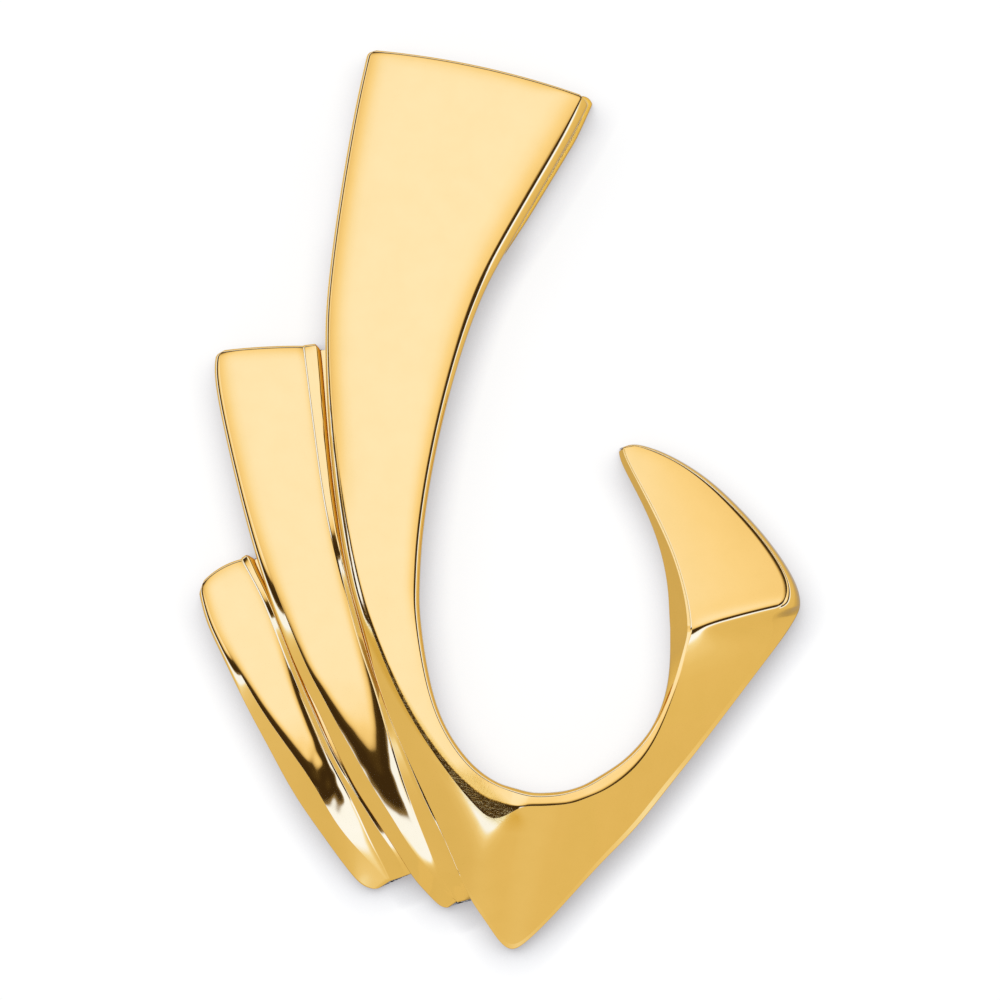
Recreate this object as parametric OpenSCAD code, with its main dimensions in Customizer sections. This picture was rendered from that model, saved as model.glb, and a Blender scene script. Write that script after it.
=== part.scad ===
// Slide pendant in polished yellow gold.
//
// One casting, open and hollow at the back: a fan of three stepped blades. The main blade runs down from a broad
// top and turns round an open gap, its face narrowing to a level rim and its bevel widening to a V-shaped point.
// Past the gap it rises to a ridge and ends in a hooked thorn. The second and third blades lie beside it like steps,
// each with a low lip along the groove to its neighbour. A strap soldered across the back of the main blade leaves
// a passage from side to side for a necklace.
//
// Frame: X across, Y up the pendant, Z out of its face, lying on its back rim at Z = 0. Millimetres.

/* [Overall size] */
// Width from the tip of the third blade to the knuckle of the hook
pendant_w = 30.1; // [24:0.1:42]
// Height from the point at the bottom to the top edge of the main blade
pendant_h = 45; // [36:0.5:60]
// Depth from the back rim to the face of the main blade
pendant_d = 6; // [5.5:0.1:8]

/* [Casting] */
// Metal left at the sides of the hollow back
side_wall = 0.9; // [0.7:0.05:1]
// Metal left in front of the hollow back
front_wall = 1.1; // [0.8:0.05:1.3]
// Rounding of the blades' top ends
end_round = 0.25; // [0.1:0.05:0.4]
// Sections lofted from one row of a blade's table to the next
loft_steps = 3; // [2:1:4]

/* [Necklace passage] */
// Thickness of the strap across the back
strap_t = 0.7; // [0.5:0.05:1]
// Lower edge of the strap, above the middle of the pendant
strap_low = 12.3; // [11:0.1:13]
// Upper edge of the strap
strap_top = 20; // [19:0.1:20.2]
// How far the strap stands out past the foot of the inner wall
strap_proud = 0.2; // [0:0.05:0.4]
// Strap left whole above and below the passage, where it is soldered to the side walls
solder_land = 0.95; // [0.6:0.05:1.2]
// Front of the passage, behind the main blade's face
passage_top = 4.8; // [3:0.1:4.8]

/* [Hidden] */

// Blade tables, one row for each section, in the order that the blade is followed. Columns of the main blade:
//   outer   where the bevel meets the outer side wall, with its height
//   crease  where the face meets the bevel, with its height
//   inner   edge of the face on the side of the hook's gap, as high as the crease
//   foot    foot of the inner wall
//   bow     how far the section bulges towards the blade's top end
//   roll    width of the rolled-off margin beside the crease
//   fall    how far that margin falls for each millimetre of its width
//   edge    width of the rounded rim at the outer side
//   lift    how high that rim's inner line lies above its outer line
MAIN = [
    [[-6.55, 22.40, 5.70], [-6.33, 22.45, 5.95], [4.15, 20.15], [4.45, 19.80], 0.35, 0, 0.15, 0, 0],
    [[-7.25, 19.40, 5.70], [-7.03, 19.40, 5.95], [3.15, 18.10], [3.50, 17.95], 0.15, 0, 0.15, 0, 0],
    [[-8.10, 14.30, 5.70], [-7.88, 14.30, 5.95], [0.10, 12.90], [0.50, 12.75], 0, 0, 0.15, 0, 0],
    [[-8.45, 11.50, 5.70], [-8.23, 11.50, 5.95], [-1.10, 10.55], [-0.75, 10.50], 0, 0, 0.15, 0, 0],
    [[-8.75, 8.25, 5.67], [-8.53, 8.25, 5.92], [-2.20, 7.50], [-1.90, 7.45], 0, 0, 0.15, 0, 0],
    [[-8.50, 2.85, 5.50], [-8.20, 2.95, 5.85], [-3.35, 3.00], [-3.10, 3.00], 0, 0, 0.20, 0, 0],
    [[-7.95, -1.80, 5.25], [-7.60, -1.65, 5.70], [-4.10, -1.55], [-3.85, -1.55], 0, 0.12, 0.39, 0, 0],
    [[-7.40, -4.53, 5.08], [-7.10, -4.42, 5.57], [-4.22, -4.25], [-3.97, -4.25], 0, 0.26, 0.39, 0, 0],
    [[-6.95, -6.05, 4.95], [-6.58, -5.90, 5.48], [-4.25, -5.65], [-4.00, -5.60], 0, 0.20, 0.26, 0, 0],
    [[-5.85, -10.00, 4.60], [-5.15, -9.60, 5.28], [-3.75, -8.95], [-3.55, -8.85], 0, 0.24, 0.26, 0, 0],
    [[-4.35, -13.45, 4.05], [-3.55, -12.25, 5.08], [-2.95, -11.35], [-2.80, -11.25], 0, 0.27, 0.26, 0, 0],
    [[-3.00, -16.35, 3.35], [-2.05, -14.30, 4.93], [-1.65, -13.25], [-1.50, -13.10], 0, 0.48, 0.26, 0, 0],
    [[-1.90, -18.95, 2.60], [-0.80, -15.70, 4.82], [-0.55, -14.05], [-0.45, -13.90], 0, 0.95, 0.26, 0, 0],
    [[-1.40, -20.05, 2.20], [-0.15, -15.90, 4.76], [0.10, -14.35], [0.15, -14.20], 0, 0.95, 0.26, 0.22, 0.13],
    [[-0.65, -21.10, 1.60], [0.55, -15.60, 4.70], [0.65, -14.55], [0.70, -14.35], 0, 0.45, 0.26, 0.25, 0.12],
    [[0.00, -22.10, 0.85], [1.05, -15.30, 4.66], [1.15, -14.70], [1.20, -14.50], 0, 0.10, 0.26, 0.25, 0.12],
    [[0.60, -22.50, 0.50], [1.60, -15.25, 4.61], [1.65, -14.80], [1.70, -14.60], 0, 0, 0.20, 0.25, 0.12],
    [[1.25, -22.15, 0.65], [2.20, -15.25, 4.55], [2.25, -14.80], [2.25, -14.60], 0, 0, 0.20, 0.25, 0.12],
    [[2.45, -21.00, 1.00], [2.95, -15.20, 4.48], [2.95, -14.75], [2.95, -14.55], 0, 0, 0.20, 0.25, 0.12],
    [[3.90, -19.40, 1.30], [3.70, -15.10, 4.41], [3.55, -14.60], [3.50, -14.45], 0, 0, 0.20, 0.25, 0.12],
    [[5.25, -17.90, 1.50], [4.45, -14.80, 4.33], [4.30, -14.35], [4.25, -14.20], 0, 0, 0.20, 0.25, 0.12],
    [[6.75, -16.45, 1.60], [5.30, -14.45, 4.25], [5.00, -13.95], [4.90, -13.80], 0, 0, 0.20, 0.25, 0.12],
    [[8.15, -14.65, 1.60], [6.45, -13.65, 4.10], [6.15, -13.20], [6.05, -13.10], 0, 0, 0.20, 0.25, 0.12],
    [[9.55, -12.90, 1.50], [7.40, -12.55, 3.96], [7.10, -12.30], [6.95, -12.20], 0, 0, 0.20, 0.25, 0.12],
    [[10.85, -11.20, 1.40], [8.10, -11.20, 3.83], [7.85, -11.20], [7.70, -11.20], 0, 0, 0.20, 0.25, 0.12],
    [[12.10, -9.55, 1.30], [8.65, -9.75, 3.70], [8.45, -9.75], [8.25, -9.75], 0, 0, 0.20, 0.28, 0.14],
    [[13.20, -8.10, 1.20], [9.05, -8.60, 3.60], [8.85, -8.55], [8.45, -8.50], 0, 0, 0.20, 0.40, 0.22],
    [[14.00, -7.05, 1.10], [9.30, -7.45, 3.54], [9.15, -7.45], [8.50, -7.50], 0, 0, 0.15, 0.50, 0.40],
    [[14.55, -6.25, 1.10], [9.50, -6.85, 3.53], [9.30, -6.90], [8.50, -7.00], 0, 0, 0.15, 0.90, 0.90],
    [[14.90, -5.60, 1.10], [9.58, -6.52, 3.54], [9.35, -6.55], [8.50, -6.65], 0, 0, 0.15, 1.40, 1.60],
    [[15.00, -5.20, 1.15], [9.56, -6.22, 3.53], [9.35, -6.22], [8.50, -6.35], 0, 0, 0.15, 1.05, 2.03],
    [[14.90, -4.45, 1.30], [9.50, -5.50, 3.45], [9.30, -5.50], [8.45, -5.65], 0, 0, 0.15, 0.50, 1.78],
    [[14.40, -3.40, 1.30], [9.25, -4.35, 3.35], [9.10, -4.35], [8.40, -4.45], 0, 0, 0.15, 0.32, 1.69],
    [[13.35, -1.90, 1.40], [8.75, -2.65, 3.21], [8.60, -2.65], [8.10, -2.75], 0, 0, 0.15, 0.28, 1.50],
    [[11.95, -0.35, 1.50], [7.90, -0.75, 3.07], [7.75, -0.80], [7.45, -0.85], 0, 0, 0.15, 0.27, 1.33],
    [[10.35, 1.15, 1.50], [6.95, 1.00, 2.95], [6.85, 0.95], [6.55, 0.90], 0, 0, 0.15, 0.26, 1.28],
    [[8.55, 2.25, 1.50], [6.40, 2.05, 2.88], [6.30, 2.00], [6.05, 1.90], 0, 0, 0.15, 0.23, 1.28],
    [[7.35, 2.70, 1.50], [6.25, 2.50, 2.84], [6.15, 2.45], [5.95, 2.35], 0, 0, 0.15, 0.20, 1.29],
    [[6.60, 2.85, 1.50], [6.20, 2.70, 2.82], [6.10, 2.60], [5.95, 2.50], 0, 0, 0.15, 0.15, 1.30],
];
// Columns of the lower blades, all points with their heights:
//   outer   where the bevel meets the outer side wall
//   crease  where the face meets the bevel
//   inner   edge of the face on the side of the next blade
//   groove  groove to the next blade
//   bow     how far the section bulges towards the blade's top end
SECOND = [
    [[-14.10, 7.35, 4.38], [-13.90, 7.45, 4.62], [-9.80, 7.65, 4.62], [-8.95, 7.75, 4.70], 0.10],
    [[-14.25, 6.10, 4.38], [-13.98, 6.10, 4.62], [-9.65, 6.50, 4.62], [-8.80, 6.60, 4.70], 0.05],
    [[-13.50, 2.50, 4.33], [-13.25, 2.55, 4.57], [-9.22, 3.10, 4.57], [-8.55, 3.20, 4.65], 0],
    [[-12.50, -1.60, 4.26], [-12.23, -1.50, 4.50], [-8.70, -0.65, 4.50], [-8.15, -0.50, 4.60], 0],
    [[-11.35, -5.25, 4.17], [-10.95, -5.05, 4.42], [-7.92, -3.85, 4.42], [-7.55, -3.75, 4.58], 0],
    [[-10.00, -8.70, 3.96], [-9.65, -8.30, 4.35], [-7.03, -7.20, 4.35], [-6.70, -7.00, 4.62], 0],
    [[-9.30, -9.95, 3.80], [-8.95, -9.55, 4.27], [-6.51, -8.63, 4.27], [-6.35, -8.30, 4.55], 0],
    [[-8.60, -11.45, 3.60], [-8.15, -11.10, 4.14], [-6.02, -10.20, 4.14], [-5.75, -10.15, 4.45], 0],
    [[-7.85, -13.15, 3.15], [-7.40, -12.40, 3.91], [-5.50, -12.05, 3.91], [-4.95, -11.95, 4.27], 0],
    [[-7.10, -14.55, 2.80], [-6.60, -13.85, 3.58], [-5.03, -13.60, 3.58], [-4.35, -13.40, 4.02], 0],
    [[-6.30, -15.75, 2.45], [-5.80, -15.15, 3.20], [-4.55, -14.95, 3.20], [-3.75, -14.85, 3.66], 0],
    [[-5.50, -17.00, 2.00], [-5.20, -16.10, 2.85], [-4.15, -16.00, 2.85], [-3.15, -16.10, 3.30], 0],
    [[-4.90, -17.90, 1.62], [-4.70, -16.95, 2.48], [-3.75, -17.00, 2.48], [-2.60, -17.20, 2.86], 0],
    [[-4.30, -18.90, 1.15], [-4.10, -17.80, 2.08], [-3.38, -17.95, 2.08], [-2.05, -18.35, 2.38], 0],
    [[-3.75, -19.50, 0.80], [-3.50, -18.55, 1.68], [-3.10, -18.65, 1.68], [-1.70, -19.40, 1.60], 0],
    [[-3.15, -20.15, 0.60], [-2.75, -19.50, 1.08], [-2.50, -19.55, 1.08], [-1.50, -19.85, 1.05], 0],
    [[-2.75, -20.40, 0.50], [-2.25, -20.05, 0.68], [-2.10, -20.10, 0.68], [-1.50, -19.95, 0.75], 0],
];
THIRD = [
    [[-15.00, -4.50, 3.31], [-14.80, -4.20, 3.55], [-12.80, -3.10, 3.55], [-12.35, -2.75, 3.63], 0.30],
    [[-14.65, -6.05, 3.30], [-14.38, -5.90, 3.54], [-11.95, -4.65, 3.54], [-11.55, -4.45, 3.64], 0.20],
    [[-13.90, -7.60, 3.26], [-13.63, -7.40, 3.52], [-11.40, -6.00, 3.52], [-11.05, -5.80, 3.67], 0.10],
    [[-13.15, -9.20, 3.22], [-12.75, -8.95, 3.48], [-10.70, -7.85, 3.48], [-10.40, -7.65, 3.70], 0.05],
    [[-12.30, -10.90, 2.97], [-11.95, -10.35, 3.42], [-10.10, -9.40, 3.42], [-9.75, -9.20, 3.68], 0],
    [[-11.50, -12.35, 2.75], [-10.95, -11.80, 3.32], [-9.45, -10.95, 3.32], [-9.05, -10.70, 3.62], 0],
    [[-10.70, -13.90, 2.36], [-10.15, -12.90, 3.16], [-8.85, -12.30, 3.16], [-8.50, -12.10, 3.42], 0],
    [[-9.85, -15.30, 1.90], [-9.35, -14.05, 2.89], [-8.25, -13.50, 2.89], [-7.85, -13.30, 3.18], 0],
    [[-9.00, -16.50, 1.45], [-8.75, -15.10, 2.53], [-7.65, -14.60, 2.53], [-7.30, -14.40, 2.85], 0],
    [[-8.15, -17.70, 1.10], [-8.10, -16.20, 2.11], [-7.05, -15.80, 2.11], [-6.60, -15.50, 2.50], 0],
    [[-7.35, -18.75, 0.75], [-7.25, -17.25, 1.68], [-6.55, -16.95, 1.68], [-5.90, -16.65, 2.10], 0],
    [[-6.80, -19.30, 0.55], [-6.35, -18.20, 1.10], [-5.95, -18.05, 1.10], [-5.05, -17.85, 1.50], 0],
    [[-6.20, -19.45, 0.40], [-5.65, -19.10, 0.50], [-5.50, -19.05, 0.50], [-4.65, -18.75, 0.80], 0],
];

// How far a lower blade reaches into the next one past the groove
REACH = 0.4;
// How far the hollow of a lower blade runs on past the groove, into the next hollow
HOLLOW_REACH = 1.3;
// The hollow ends here on each blade, counted in rows of its table
MAIN_HOLLOW_ROWS = 14;
SECOND_HOLLOW_ROWS = 13;
THIRD_HOLLOW_ROWS = 9;
// The strap's end stays this far inside the outer side wall
STRAP_INSET = 0.15;
// The cuts run this far past the surfaces that they open
PAST = 1;

GOLD = [0.91, 0.70, 0.32];

function flat(p) = [p[0], p[1]];
function at(p, z) = [p[0], p[1], z];
function mix(a, b, t) = a + (b - a) * t;
function unit(v) = v / norm(v);
function gap(a, b) = norm(flat(b) - flat(a));
function left_of(v) = [-v[1], v[0]];

// Smooth curve through the rows of a table, from row k (t = 0) to row k + 1 (t = 1)
function curve(a, b, c, d, t) =
    0.5 * (2 * b + (c - a) * t + (2 * a - 5 * b + 4 * c - d) * t * t + (3 * b - a - 3 * c + d) * t * t * t);
function row(rows, k) =
    k < 0 ? 2 * rows[0] - rows[1]
    : k > len(rows) - 1 ? 2 * rows[len(rows) - 1] - rows[len(rows) - 2]
    : rows[k];
function section(rows, k, t) = curve(row(rows, k - 1), rows[k], row(rows, k + 1), row(rows, k + 2), t);

// All sections of a blade, closer together where its top end is rounded
function first_step(rows) = gap(rows[0][2], rows[1][2]);
function sections(rows, last) = concat(
    [for (d = [0, 0.25, 1]) section(rows, 0, d * end_round / first_step(rows))],
    [for (j = [1:loft_steps - 1]) section(rows, 0, j / loft_steps)],
    [for (k = [1:last - 1], j = [0:loft_steps - 1]) section(rows, k, j / loft_steps)],
    [section(rows, last - 1, 1)]
);

// Height taken off the face near the rounded top end, at section n of a blade
function end_dip(n) = n == 0 ? end_round : n == 1 ? end_round * 0.35 : 0;

// Moves the points of a section towards the top end, most in its middle
function bowed(points, from, to, bow) = [
    for (p = points)
        let (
            t = min(1, gap(p, from) / gap(from, to)),
            push = left_of(unit(flat(to) - flat(from)))
        )
        at(flat(p) + push * bow * 4 * t * (1 - t), p[2])
];

// Section of the main blade: foot and inner wall, face, rolled margin, bevel, rim, outer wall
function main_profile(r, dip) =
    let (
        outer = r[0], crease = at(r[1], r[1][2] - dip), inner = at(r[2], crease[2]), foot = r[3],
        bow = r[4], roll = max(0, r[5]), fall = r[6], edge = max(0.02, r[7]), lift = max(0, r[8]),
        face_w = gap(crease, inner), bevel_w = gap(crease, outer),
        margin = min(0.8, max(roll, 0.2 * face_w) / face_w),
        crease_top = at(crease, crease[2] - min(roll, 0.8 * face_w) * fall),
        rim = mix(outer, crease, edge / bevel_w),
        rim_top = at(rim, outer[2] + (edge > 0.03 ? lift : 0) - dip)
    )
    bowed([
        at(foot, 0),
        at(mix(flat(foot), flat(inner), 0.55), inner[2] - 0.5),
        at(mix(flat(foot), flat(inner), 0.85), inner[2] - 0.12),
        inner,
        mix(inner, crease, 0.5 - margin / 2),
        mix(crease, inner, margin),
        crease_top,
        mix(crease_top, rim_top, 0.5),
        rim_top,
        at(outer, outer[2] - dip),
        at(outer, 0)
    ], outer, foot, bow);

// Section of a lower blade: reach into the next blade, lip and fillet at the groove, face, bevel, outer wall
function step_profile(r, dip) =
    let (
        outer = r[0], crease = r[1], inner = r[2], groove = r[3], bow = r[4],
        reach = flat(groove) + REACH * unit(flat(groove) - flat(inner)),
        lip = groove[2] - inner[2]
    )
    bowed([
        at(reach, 0),
        at(reach, groove[2] - dip),
        at(groove, groove[2] - dip),
        at(mix(inner, groove, 0.75), inner[2] + 0.7 * lip - dip),
        at(mix(inner, groove, 0.4), inner[2] + 0.2 * lip - dip),
        at(inner, inner[2] - dip),
        at(mix(inner, crease, 0.5), mix(inner[2], crease[2], 0.5) - dip),
        at(crease, crease[2] - dip),
        at(mix(crease, outer, 0.5), mix(crease[2], outer[2], 0.45) - dip),
        at(outer, outer[2] - dip),
        at(outer, 0)
    ], outer, groove, bow);

// Point at a distance s, measured in plan, along a chain of points
function walk(chain, s, k = 0) =
    let (d = gap(chain[k], chain[k + 1]))
        s <= d || k == len(chain) - 2 ? mix(chain[k], chain[k + 1], s / d) : walk(chain, s - d, k + 1);
function chain_length(chain, k = 0) =
    k > len(chain) - 2 ? 0 : gap(chain[k], chain[k + 1]) + chain_length(chain, k + 1);

// Section of the hollow under a blade: two sides and a roof that follows the chain of points above it
HOLLOW_POINTS = 5;
function hollow_profile(chain, start, end) =
    let (roof = [for (k = [0:HOLLOW_POINTS - 1]) walk(chain, start + (end - start) * k / (HOLLOW_POINTS - 1))])
        concat(
            [at(roof[HOLLOW_POINTS - 1], -PAST)],
            [for (k = [HOLLOW_POINTS - 1:-1:0]) at(roof[k], max(0.2, roof[k][2] - front_wall))],
            [at(roof[0], -PAST)]
        );
function main_hollow(r) =
    let (chain = [r[0], at(r[1], r[1][2] - max(0, r[5]) * r[6]), at(r[2], r[1][2])])
        hollow_profile(chain, side_wall, chain_length(chain) - 0.75 * side_wall);
function step_hollow(r) =
    let (
        past = flat(r[3]) + HOLLOW_REACH * unit(flat(r[3]) - flat(r[2])),
        chain = [r[0], r[1], r[2], r[3], at(past, r[3][2])]
    )
    hollow_profile(chain, side_wall, chain_length(chain));

// Solid lofted through closed sections that all have the same number of points
module loft(loops) {
    n = len(loops[0]);
    last = len(loops) - 1;
    sides = [
        for (i = [0:last - 1], j = [0:n - 1])
            let (a = i * n + j, b = i * n + (j + 1) % n)
                each [[a, b + n, b], [a, a + n, b + n]]
    ];
    caps = [for (j = [1:n - 2]) each [[0, j, j + 1], [last * n, last * n + j + 1, last * n + j]]];
    polyhedron(points = [for (loop = loops) each loop], faces = concat(sides, caps));
}

module main_blade() {
    rows = sections(MAIN, len(MAIN) - 1);
    loft([for (n = [0:len(rows) - 1]) main_profile(rows[n], end_dip(n))]);
}

module step_blade(rows) {
    all = sections(rows, len(rows) - 1);
    loft([for (n = [0:len(all) - 1]) step_profile(all[n], end_dip(n))]);
}

// Sections of a blade that lie a wall's thickness or more below its top end
function inside_end(rows, last) = [
    for (r = sections(rows, last)) if (gap(r[2], rows[0][2]) >= side_wall) r
];

module hollows() {
    loft([for (r = inside_end(MAIN, MAIN_HOLLOW_ROWS)) main_hollow(r)]);
    loft([for (r = inside_end(SECOND, SECOND_HOLLOW_ROWS)) step_hollow(r)]);
    loft([for (r = inside_end(THIRD, THIRD_HOLLOW_ROWS)) step_hollow(r)]);
}

// Flat strap between the two side walls, standing a little proud of the inner one
module back_strap() {
    band = [for (r = sections(MAIN, 4)) r];
    outer_side = [for (r = band) flat(r[0]) + STRAP_INSET * unit(flat(r[3]) - flat(r[0]))];
    inner_side = [for (r = band) flat(r[3]) + strap_proud * unit(flat(r[3]) - flat(r[0]))];
    intersection() {
        linear_extrude(strap_t)
            polygon(concat(outer_side, [for (k = [len(band) - 1:-1:0]) inner_side[k]]));
        translate([-15, strap_low, 0])
            cube([30, strap_top - strap_low, strap_t]);
    }
}

// Cut through both side walls, between the strap and the main blade's face
module necklace_passage() {
    translate([-15, strap_low + solder_land, strap_t])
        cube([22, strap_top - strap_low - 2 * solder_land, passage_top - strap_t]);
}

module slide_body() {
    color(GOLD)
        resize([pendant_w, pendant_h, pendant_d])
            difference() {
                union() {
                    difference() {
                        union() {
                            main_blade();
                            step_blade(SECOND);
                            step_blade(THIRD);
                        }
                        hollows();
                    }
                    back_strap();
                }
                necklace_passage();
            }
}

slide_body();
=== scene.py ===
from math import pi, radians, sin

import bpy
import numpy as np
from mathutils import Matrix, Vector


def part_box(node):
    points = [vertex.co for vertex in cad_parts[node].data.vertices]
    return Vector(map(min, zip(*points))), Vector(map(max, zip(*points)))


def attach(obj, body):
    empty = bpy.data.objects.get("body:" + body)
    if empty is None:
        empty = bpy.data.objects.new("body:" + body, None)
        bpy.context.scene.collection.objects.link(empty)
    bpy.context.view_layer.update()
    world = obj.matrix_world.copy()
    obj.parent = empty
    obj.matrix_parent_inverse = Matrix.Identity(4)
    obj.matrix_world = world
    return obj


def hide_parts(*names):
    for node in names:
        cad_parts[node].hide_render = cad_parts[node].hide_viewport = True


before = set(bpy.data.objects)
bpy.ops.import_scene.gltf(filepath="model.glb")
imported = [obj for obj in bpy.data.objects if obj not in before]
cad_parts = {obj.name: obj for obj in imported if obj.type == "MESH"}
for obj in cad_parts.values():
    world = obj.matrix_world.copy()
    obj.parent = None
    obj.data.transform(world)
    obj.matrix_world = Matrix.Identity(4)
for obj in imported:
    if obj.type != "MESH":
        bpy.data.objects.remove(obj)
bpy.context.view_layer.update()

# Main blade
# The broad blade of the gold casting: it narrows from its top end, turns round the open gap as a level rim
# over a wide bevel, and rises again to a ridge and a hooked thorn. Cast, filed and polished to a mirror.
# One row for each section, millimetres. Columns: outer and crease, with heights, edge of the face on the
# gap's side, foot of the inner wall, bow towards the top end, width and fall of the rolled margin, width
# and lift of the rim, and how much gentler the bevel starts, as a slope and over which width.
MAIN_ROWS = [
    [(-6.55, 22.40, 5.70), (-6.33, 22.45, 5.95), (4.15, 20.15), (4.45, 19.80), 0.35, 0, 0.15, 0, 0, 0, 1],
    [(-7.25, 19.40, 5.70), (-7.03, 19.40, 5.95), (3.15, 18.10), (3.50, 17.95), 0.15, 0, 0.15, 0, 0, 0, 1],
    [(-8.10, 14.30, 5.70), (-7.88, 14.30, 5.95), (0.10, 12.90), (0.50, 12.75), 0, 0, 0.15, 0, 0, 0, 1],
    [(-8.45, 11.50, 5.70), (-8.23, 11.50, 5.95), (-1.10, 10.55), (-0.75, 10.50), 0, 0, 0.15, 0, 0, 0, 1],
    [(-8.75, 8.25, 5.67), (-8.53, 8.25, 5.92), (-2.20, 7.50), (-1.90, 7.45), 0, 0, 0.15, 0, 0, 0, 1],
    [(-8.50, 2.85, 5.50), (-8.20, 2.95, 5.85), (-3.35, 3.00), (-3.10, 3.00), 0, 0, 0.2, 0, 0, 0, 1],
    [(-7.95, -1.80, 5.25), (-7.60, -1.65, 5.70), (-4.10, -1.55), (-3.85, -1.55), 0, 0.12, 0.39, 0, 0, 0, 1],
    [(-7.40, -4.53, 5.08), (-7.10, -4.42, 5.57), (-4.22, -4.25), (-3.97, -4.25), 0, 0.26, 0.39, 0, 0, 0, 1],
    [(-6.95, -6.05, 4.95), (-6.58, -5.90, 5.48), (-4.25, -5.65), (-4.00, -5.60), 0, 0.20, 0.26, 0, 0, 0, 1],
    [(-5.85, -10.00, 4.60), (-5.15, -9.60, 5.28), (-3.75, -8.95), (-3.55, -8.85), 0, 0.24, 0.26, 0, 0, 0, 1],
    [(-4.35, -13.45, 4.05), (-3.55, -12.25, 5.08), (-2.95, -11.35), (-2.80, -11.25),
     0, 0.27, 0.26, 0, 0, 0.10, 0.6],
    [(-3.00, -16.35, 3.35), (-2.05, -14.30, 4.93), (-1.65, -13.25), (-1.50, -13.10),
     0, 0.48, 0.26, 0, 0, 0.32, 1.4],
    [(-1.90, -18.95, 2.60), (-0.80, -15.70, 4.82), (-0.55, -14.05), (-0.45, -13.90),
     0, 0.95, 0.26, 0, 0, 0.30, 2.4],
    [(-1.40, -20.05, 2.20), (-0.15, -15.90, 4.76), (0.10, -14.35), (0.15, -14.20),
     0, 0.95, 0.26, 0.22, 0.13, 0.28, 2.0],
    [(-0.65, -21.10, 1.60), (0.55, -15.60, 4.70), (0.65, -14.55), (0.70, -14.35),
     0, 0.45, 0.26, 0.25, 0.12, 0.12, 2.0],
    [(0.00, -22.10, 0.85), (1.05, -15.30, 4.66), (1.15, -14.70), (1.20, -14.50),
     0, 0.1, 0.26, 0.25, 0.12, 0, 1],
    [(0.60, -22.50, 0.50), (1.60, -15.25, 4.61), (1.65, -14.80), (1.70, -14.60), 0, 0, 0.2, 0.25, 0.12, 0, 1],
    [(1.25, -22.15, 0.65), (2.20, -15.25, 4.55), (2.25, -14.80), (2.25, -14.60), 0, 0, 0.2, 0.25, 0.12, 0, 1],
    [(2.45, -21.00, 1.00), (2.95, -15.20, 4.48), (2.95, -14.75), (2.95, -14.55), 0, 0, 0.2, 0.25, 0.12, 0, 1],
    [(3.90, -19.40, 1.30), (3.70, -15.10, 4.41), (3.55, -14.60), (3.50, -14.45), 0, 0, 0.2, 0.25, 0.12, 0, 1],
    [(5.25, -17.90, 1.50), (4.45, -14.80, 4.33), (4.30, -14.35), (4.25, -14.20), 0, 0, 0.2, 0.25, 0.12, 0, 1],
    [(6.75, -16.45, 1.60), (5.30, -14.45, 4.25), (5.00, -13.95), (4.90, -13.80), 0, 0, 0.2, 0.25, 0.12, 0, 1],
    [(8.15, -14.65, 1.60), (6.45, -13.65, 4.10), (6.15, -13.20), (6.05, -13.10), 0, 0, 0.2, 0.25, 0.12, 0, 1],
    [(9.55, -12.90, 1.50), (7.40, -12.55, 3.96), (7.10, -12.30), (6.95, -12.20), 0, 0, 0.2, 0.25, 0.12, 0, 1],
    [(10.85, -11.20, 1.40), (8.10, -11.20, 3.83), (7.85, -11.20), (7.70, -11.20),
     0, 0, 0.2, 0.25, 0.12, 0, 1],
    [(12.10, -9.55, 1.30), (8.65, -9.75, 3.70), (8.45, -9.75), (8.25, -9.75), 0, 0, 0.2, 0.28, 0.14, 0, 1],
    [(13.20, -8.10, 1.20), (9.05, -8.60, 3.60), (8.85, -8.55), (8.45, -8.50), 0, 0, 0.2, 0.4, 0.22, 0, 1],
    [(14.00, -7.05, 1.10), (9.30, -7.45, 3.54), (9.15, -7.45), (8.50, -7.50), 0, 0, 0.15, 0.5, 0.40, 0, 1],
    [(14.55, -6.25, 1.10), (9.50, -6.85, 3.53), (9.30, -6.90), (8.50, -7.00), 0, 0, 0.15, 0.9, 0.90, 0, 1],
    [(14.90, -5.60, 1.10), (9.58, -6.52, 3.54), (9.35, -6.55), (8.50, -6.65), 0, 0, 0.15, 1.4, 1.60, 0, 1],
    [(15.00, -5.20, 1.15), (9.56, -6.22, 3.53), (9.35, -6.22), (8.50, -6.35), 0, 0, 0.15, 1.05, 2.03, 0, 1],
    [(14.90, -4.45, 1.30), (9.50, -5.50, 3.45), (9.30, -5.50), (8.45, -5.65), 0, 0, 0.15, 0.5, 1.78, 0, 1],
    [(14.40, -3.40, 1.30), (9.25, -4.35, 3.35), (9.10, -4.35), (8.40, -4.45), 0, 0, 0.15, 0.32, 1.69, 0, 1],
    [(13.35, -1.90, 1.40), (8.75, -2.65, 3.21), (8.60, -2.65), (8.10, -2.75), 0, 0, 0.15, 0.28, 1.5, 0, 1],
    [(11.95, -0.35, 1.50), (7.90, -0.75, 3.07), (7.75, -0.80), (7.45, -0.85), 0, 0, 0.15, 0.27, 1.33, 0, 1],
    [(10.35, 1.15, 1.50), (6.95, 1.00, 2.95), (6.85, 0.95), (6.55, 0.90), 0, 0, 0.15, 0.26, 1.28, 0, 1],
    [(8.55, 2.25, 1.50), (6.40, 2.05, 2.88), (6.30, 2.00), (6.05, 1.90), 0, 0, 0.15, 0.23, 1.28, 0, 1],
    [(7.35, 2.70, 1.50), (6.25, 2.50, 2.84), (6.15, 2.45), (5.95, 2.35), 0, 0, 0.15, 0.2, 1.29, 0, 1],
    [(6.60, 2.85, 1.50), (6.20, 2.70, 2.82), (6.10, 2.60), (5.95, 2.50), 0, 0, 0.15, 0.15, 1.3, 0, 1],
]
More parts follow.
